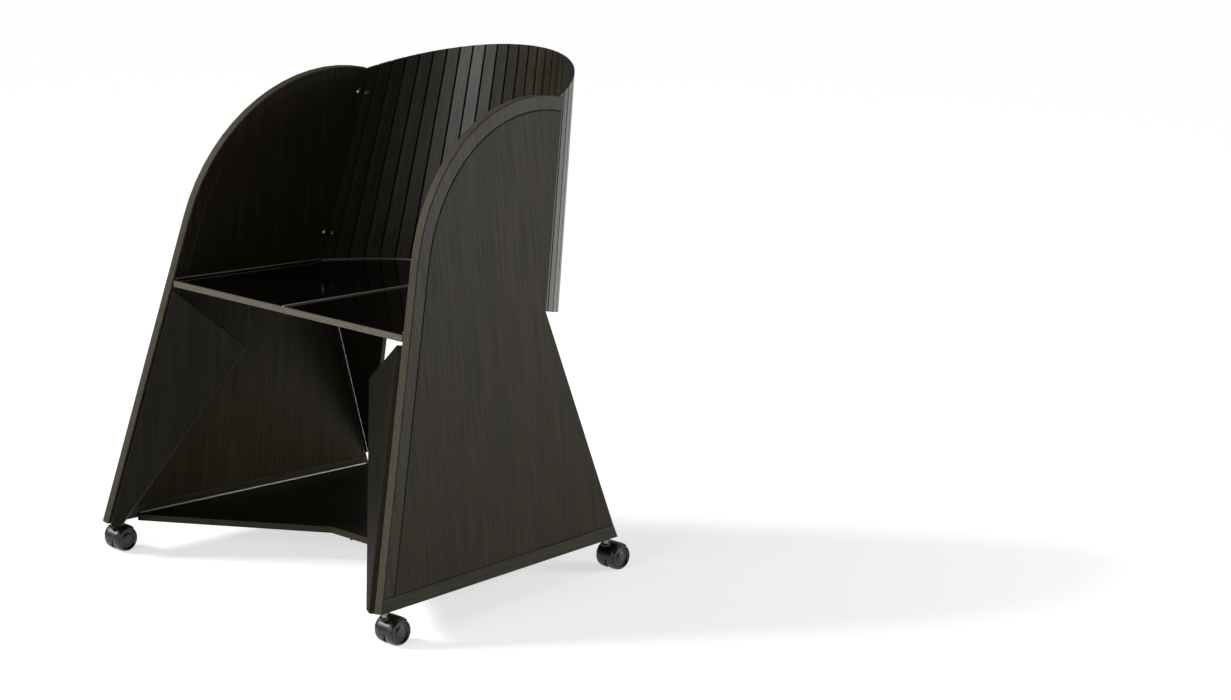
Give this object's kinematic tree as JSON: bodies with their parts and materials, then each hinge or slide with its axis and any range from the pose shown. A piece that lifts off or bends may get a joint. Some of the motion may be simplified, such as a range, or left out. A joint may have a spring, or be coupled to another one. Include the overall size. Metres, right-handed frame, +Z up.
{
  "type": "folding armchair",
  "caption": "Folding plywood armchair on swivel casters: raked arm panels, hinged seat and base leaves, and a curved slatted back that draws out when the sides close.",
  "frame": {"origin": "on the floor, midway between the sides and midway along the open chair's depth", "axes": "+X towards the sitter's left arm, -Y towards the front of the seat, +Z up"},
  "size_m": [0.7458, 0.7082, 0.8747],
  "materials": {
    "stained_plywood": "satin black stain",
    "stained_edge": "satin black stain on edge grain",
    "lacquered_seat": "gloss black lacquer",
    "stained_slats": "satin, lightly speckled",
    "hinge_steel": "satin",
    "caster_plastic": "satin",
    "wheel_plastic": "satin"
  },
  "bodies": {
    "base_left": {"base_centre_hinge_left": "hinge_steel", "base_left": "stained_plywood"},
    "base_right": {"base_centre_hinge_right": "hinge_steel", "base_right": "stained_plywood"},
    "side_left": {"base_hinge_left": "hinge_steel", "foot_rail_left": "stained_plywood", "front_wing_hinge_left": "hinge_steel", "rear_wing_hinge_left": "hinge_steel", "seat_hinge_left": "hinge_steel", "side_lipping_left": "stained_edge", "side_panel_left": "stained_plywood"},
    "side_right": {"base_hinge_right": "hinge_steel", "foot_rail_right": "stained_plywood", "front_wing_hinge_right": "hinge_steel", "rear_wing_hinge_right": "hinge_steel", "seat_hinge_right": "hinge_steel", "side_lipping_right": "stained_edge", "side_panel_right": "stained_plywood"},
    "caster_front_left": {"caster_front_left": "caster_plastic"},
    "caster_front_right": {"caster_front_right": "caster_plastic"},
    "caster_rear_left": {"caster_rear_left": "caster_plastic"},
    "caster_rear_right": {"caster_rear_right": "caster_plastic"},
    "front_wing_left": {"front_wing_left": "stained_plywood"},
    "front_wing_right": {"front_wing_right": "stained_plywood"},
    "rear_wing_left": {"rear_wing_left": "stained_plywood"},
    "rear_wing_right": {"rear_wing_right": "stained_plywood"},
    "seat_left": {"seat_centre_hinge_left": "hinge_steel", "seat_left": "lacquered_seat"},
    "seat_right": {"seat_centre_hinge_right": "hinge_steel", "seat_right": "lacquered_seat"},
    "slat_left_01": {"slat_left_01": "stained_slats"},
    "slat_left_02": {"slat_left_02": "stained_slats", "slat_left_03": "stained_slats", "slat_left_04": "stained_slats"},
    "slat_left_05": {"slat_left_05": "stained_slats", "slat_left_06": "stained_slats", "slat_left_07": "stained_slats", "slat_left_08": "stained_slats", "slat_left_09": "stained_slats"},
    "slat_left_10": {"slat_left_10": "stained_slats"},
    "slat_left_11": {"slat_left_11": "stained_slats"},
    "slat_left_12": {"slat_left_12": "stained_slats"},
    "slat_left_13": {"slat_left_13": "stained_slats"},
    "slat_right_01": {"slat_right_01": "stained_slats"},
    "slat_right_02": {"slat_right_02": "stained_slats", "slat_right_03": "stained_slats", "slat_right_04": "stained_slats"},
    "slat_right_05": {"slat_right_05": "stained_slats", "slat_right_06": "stained_slats", "slat_right_07": "stained_slats", "slat_right_08": "stained_slats", "slat_right_09": "stained_slats"},
    "slat_right_10": {"slat_right_10": "stained_slats"},
    "slat_right_11": {"slat_right_11": "stained_slats"},
    "slat_right_12": {"slat_right_12": "stained_slats"},
    "slat_right_13": {"slat_right_13": "stained_slats"},
    "wheel_front_left": {"wheel_front_left": "wheel_plastic"},
    "wheel_front_right": {"wheel_front_right": "wheel_plastic"},
    "wheel_rear_left": {"wheel_rear_left": "wheel_plastic"},
    "wheel_rear_right": {"wheel_rear_right": "wheel_plastic"}
  },
  "joints": [
    {"name": "fold", "type": "hinge", "parent": "side_left", "child": "base_left", "pos_m": [-0.33629, -0.29064, 0.0648], "axis": [-0.061, -0.9981, 0], "range_deg": [0, 83.98]},
    {"name": "base_centre_fold", "type": "hinge", "parent": "base_left", "child": "base_right", "pos_m": [0, -0.09064, 0.0484], "axis": [0, 1, 0], "range_deg": [0, 180]},
    {"name": "caster_front_left_swivel", "type": "hinge", "parent": "side_left", "child": "caster_front_left", "pos_m": [-0.35144, -0.33622, 0], "axis": [0, 0, 1], "continuous": true},
    {"name": "caster_front_right_swivel", "type": "hinge", "parent": "side_right", "child": "caster_front_right", "pos_m": [0.35144, -0.33622, 0], "axis": [0, 0, 1], "continuous": true},
    {"name": "caster_rear_left_swivel", "type": "hinge", "parent": "side_left", "child": "caster_rear_left", "pos_m": [-0.31713, 0.22473, 0], "axis": [0, 0, 1], "continuous": true},
    {"name": "caster_rear_right_swivel", "type": "hinge", "parent": "side_right", "child": "caster_rear_right", "pos_m": [0.31713, 0.22473, 0], "axis": [0, 0, 1], "continuous": true},
    {"name": "front_wing_left_swing", "type": "hinge", "parent": "side_left", "child": "front_wing_left", "pos_m": [-0.33759, -0.33583, 0.07872], "axis": [0.1168, 0.2498, 0.9612], "range_deg": [0, 58]},
    {"name": "front_wing_right_swing", "type": "hinge", "parent": "side_right", "child": "front_wing_right", "pos_m": [0.33759, -0.33583, 0.07872], "axis": [0.1168, -0.2498, -0.9612], "range_deg": [0, 58]},
    {"name": "rear_wing_left_swing", "type": "hinge", "parent": "side_left", "child": "rear_wing_left", "pos_m": [-0.30195, 0.23314, 0.08667], "axis": [0.0783, -0.3385, 0.9377], "range_deg": [0, 85]},
    {"name": "rear_wing_right_swing", "type": "hinge", "parent": "side_right", "child": "rear_wing_right", "pos_m": [0.30195, 0.23314, 0.08667], "axis": [0.0783, 0.3385, -0.9377], "range_deg": [0, 85]},
    {"name": "seat_left_fold", "type": "hinge", "parent": "side_left", "child": "seat_left", "pos_m": [-0.28832, -0.23966, 0.48943], "axis": [-0.0588, -0.998, 0.0215], "range_deg": [0, 83.91]},
    {"name": "seat_right_fold", "type": "hinge", "parent": "side_right", "child": "seat_right", "pos_m": [0.28832, -0.23966, 0.48943], "axis": [-0.0588, 0.998, -0.0215], "range_deg": [0, 83.91]},
    {"name": "side_right_fold", "type": "hinge", "parent": "base_right", "child": "side_right", "pos_m": [0.33629, -0.29064, 0.0648], "axis": [0.061, -0.9981, 0], "range_deg": [0, 83.98]},
    {"name": "slat_left_01_bend", "type": "hinge", "parent": "side_left", "child": "slat_left_01", "pos_m": [-0.27626, 0.09349, 0.47463], "axis": [-0.1156, -0.2152, -0.9697], "range_deg": [-38.18, 0]},
    {"name": "slat_left_02_bend", "type": "hinge", "parent": "slat_left_01", "child": "slat_left_02", "pos_m": [-0.26864, 0.11418, 0.46928], "axis": [-0.1124, -0.2066, -0.972], "range_deg": [-10.2, 0]},
    {"name": "slat_left_05_bend", "type": "hinge", "parent": "slat_left_02", "child": "slat_left_05", "pos_m": [-0.22556, 0.18518, 0.45092], "axis": [-0.0944, -0.1769, -0.9797], "range_deg": [-9.99, 0]},
    {"name": "slat_left_10_bend", "type": "hinge", "parent": "slat_left_05", "child": "slat_left_10", "pos_m": [-0.11211, 0.26745, 0.42964], "axis": [-0.0469, -0.1425, -0.9887], "range_deg": [0, 10.06]},
    {"name": "slat_left_11_bend", "type": "hinge", "parent": "slat_left_10", "child": "slat_left_11", "pos_m": [-0.08508, 0.27689, 0.4272], "axis": [-0.0356, -0.1385, -0.9897], "range_deg": [0, 10.43]},
    {"name": "slat_left_12_bend", "type": "hinge", "parent": "slat_left_11", "child": "slat_left_12", "pos_m": [-0.0572, 0.2837, 0.42544], "axis": [-0.0239, -0.1357, -0.9905], "range_deg": [0, 14.38]},
    {"name": "slat_left_13_bend", "type": "hinge", "parent": "slat_left_12", "child": "slat_left_13", "pos_m": [-0.02874, 0.28782, 0.42437], "axis": [-0.012, -0.1339, -0.9909], "range_deg": [0, 18.81]},
    {"name": "slat_right_01_bend", "type": "hinge", "parent": "side_right", "child": "slat_right_01", "pos_m": [0.27626, 0.09349, 0.47463], "axis": [-0.1156, 0.2152, 0.9697], "range_deg": [-38.18, 0]},
    {"name": "slat_right_02_bend", "type": "hinge", "parent": "slat_right_01", "child": "slat_right_02", "pos_m": [0.26864, 0.11418, 0.46928], "axis": [-0.1124, 0.2066, 0.972], "range_deg": [-10.2, 0]},
    {"name": "slat_right_05_bend", "type": "hinge", "parent": "slat_right_02", "child": "slat_right_05", "pos_m": [0.22556, 0.18518, 0.45092], "axis": [-0.0944, 0.1769, 0.9797], "range_deg": [-9.99, 0]},
    {"name": "slat_right_10_bend", "type": "hinge", "parent": "slat_right_05", "child": "slat_right_10", "pos_m": [0.11211, 0.26745, 0.42964], "axis": [-0.0469, 0.1425, 0.9887], "range_deg": [0, 10.06]},
    {"name": "slat_right_11_bend", "type": "hinge", "parent": "slat_right_10", "child": "slat_right_11", "pos_m": [0.08508, 0.27689, 0.4272], "axis": [-0.0356, 0.1385, 0.9897], "range_deg": [0, 10.43]},
    {"name": "slat_right_12_bend", "type": "hinge", "parent": "slat_right_11", "child": "slat_right_12", "pos_m": [0.0572, 0.2837, 0.42544], "axis": [-0.0239, 0.1357, 0.9905], "range_deg": [0, 14.38]},
    {"name": "slat_right_13_bend", "type": "hinge", "parent": "slat_right_12", "child": "slat_right_13", "pos_m": [0.02874, 0.28782, 0.42437], "axis": [-0.012, 0.1339, 0.9909], "range_deg": [0, 18.81]},
    {"name": "wheel_front_left_spin", "type": "hinge", "parent": "caster_front_left", "child": "wheel_front_left", "pos_m": [-0.35144, -0.31822, 0.023], "axis": [1, 0, 0], "continuous": true},
    {"name": "wheel_front_right_spin", "type": "hinge", "parent": "caster_front_right", "child": "wheel_front_right", "pos_m": [0.35144, -0.31822, 0.023], "axis": [1, 0, 0], "continuous": true},
    {"name": "wheel_rear_left_spin", "type": "hinge", "parent": "caster_rear_left", "child": "wheel_rear_left", "pos_m": [-0.31713, 0.24273, 0.023], "axis": [1, 0, 0], "continuous": true},
    {"name": "wheel_rear_right_spin", "type": "hinge", "parent": "caster_rear_right", "child": "wheel_rear_right", "pos_m": [0.31713, 0.24273, 0.023], "axis": [1, 0, 0], "continuous": true}
  ],
  "couplings": [
    {"joint": "base_centre_fold", "follows": "fold", "ratio": 2.1433},
    {"joint": "front_wing_left_swing", "follows": "fold", "ratio": 0.69063},
    {"joint": "front_wing_right_swing", "follows": "fold", "ratio": 0.69063},
    {"joint": "rear_wing_left_swing", "follows": "fold", "ratio": 1.0121},
    {"joint": "rear_wing_right_swing", "follows": "fold", "ratio": 1.0121},
    {"joint": "seat_left_fold", "follows": "fold", "ratio": 0.99912},
    {"joint": "seat_right_fold", "follows": "fold", "ratio": 0.99912},
    {"joint": "side_right_fold", "follows": "fold", "ratio": 1},
    {"joint": "slat_left_01_bend", "follows": "fold", "ratio": -0.45462},
    {"joint": "slat_left_02_bend", "follows": "fold", "ratio": -0.12147},
    {"joint": "slat_left_05_bend", "follows": "fold", "ratio": -0.11894},
    {"joint": "slat_left_10_bend", "follows": "fold", "ratio": 0.11983},
    {"joint": "slat_left_11_bend", "follows": "fold", "ratio": 0.12419},
    {"joint": "slat_left_12_bend", "follows": "fold", "ratio": 0.17126},
    {"joint": "slat_left_13_bend", "follows": "fold", "ratio": 0.22401},
    {"joint": "slat_right_01_bend", "follows": "fold", "ratio": -0.45462},
    {"joint": "slat_right_02_bend", "follows": "fold", "ratio": -0.12147},
    {"joint": "slat_right_05_bend", "follows": "fold", "ratio": -0.11894},
    {"joint": "slat_right_10_bend", "follows": "fold", "ratio": 0.11983},
    {"joint": "slat_right_11_bend", "follows": "fold", "ratio": 0.12419},
    {"joint": "slat_right_12_bend", "follows": "fold", "ratio": 0.17126},
    {"joint": "slat_right_13_bend", "follows": "fold", "ratio": 0.22401}
  ]
}
